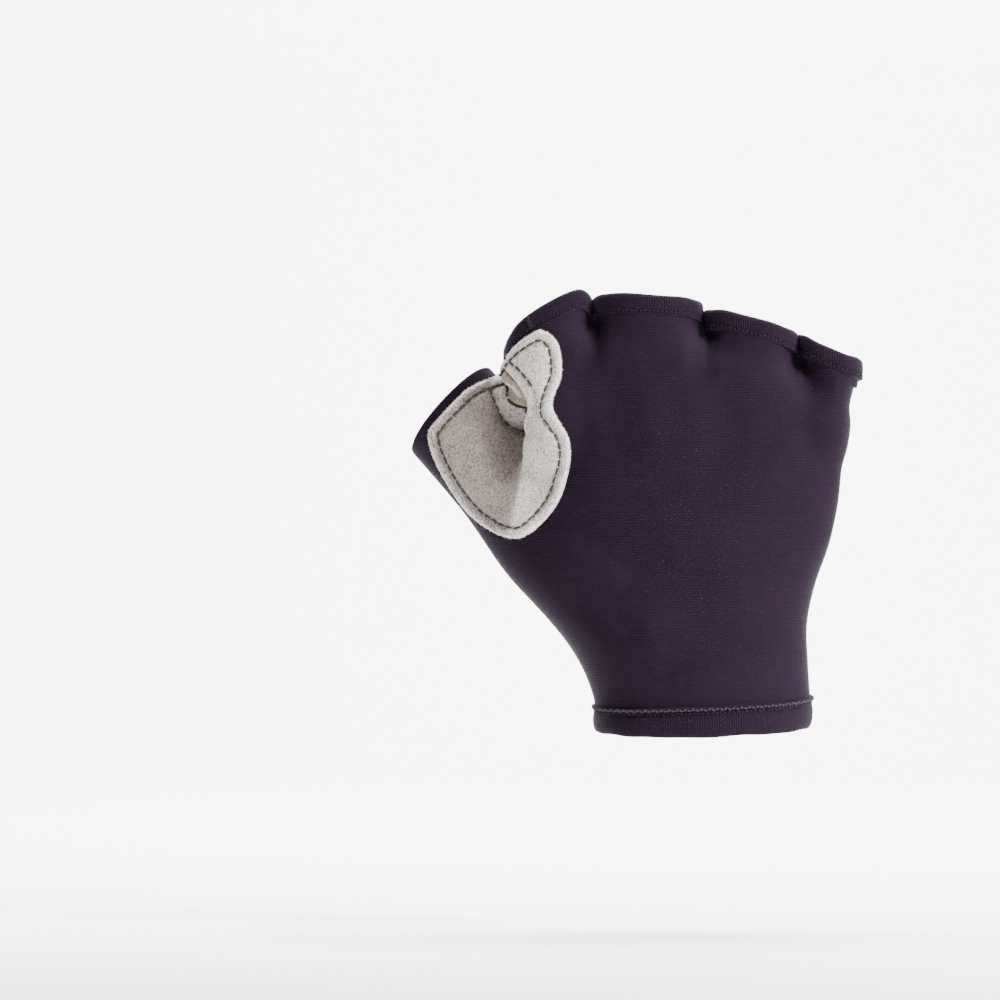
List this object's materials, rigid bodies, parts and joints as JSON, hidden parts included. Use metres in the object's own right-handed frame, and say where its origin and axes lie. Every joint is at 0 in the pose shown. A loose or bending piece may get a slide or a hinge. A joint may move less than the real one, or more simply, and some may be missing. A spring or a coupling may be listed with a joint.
{
  "type": "fingerless impact glove",
  "caption": "Right-hand fingerless work glove of stretch knit with a padded suede palm and a suede patch over the thumb's web, filled out as when worn.",
  "frame": {"origin": "middle of the wrist opening, level with its edge at the back of the hand", "axes": "+Z from the wrist to the fingers, +X to the little finger's side, +Y to the palm"},
  "size_m": [0.135, 0.0512, 0.1329],
  "materials": {
    "knit": "dark navy-purple stretch knit with a faint sheen",
    "hem_knit": "the same knit, folded and cover stitched",
    "suede": "light warm grey split suede, matt"
  },
  "bodies": {
    "root": {"knit_shell": "knit", "wrist_hem": "hem_knit", "index_hem": "hem_knit", "middle_hem": "hem_knit", "ring_hem": "hem_knit", "little_hem": "hem_knit", "palm_suede": "suede", "web_suede": "suede"}
  },
  "joints": []
}
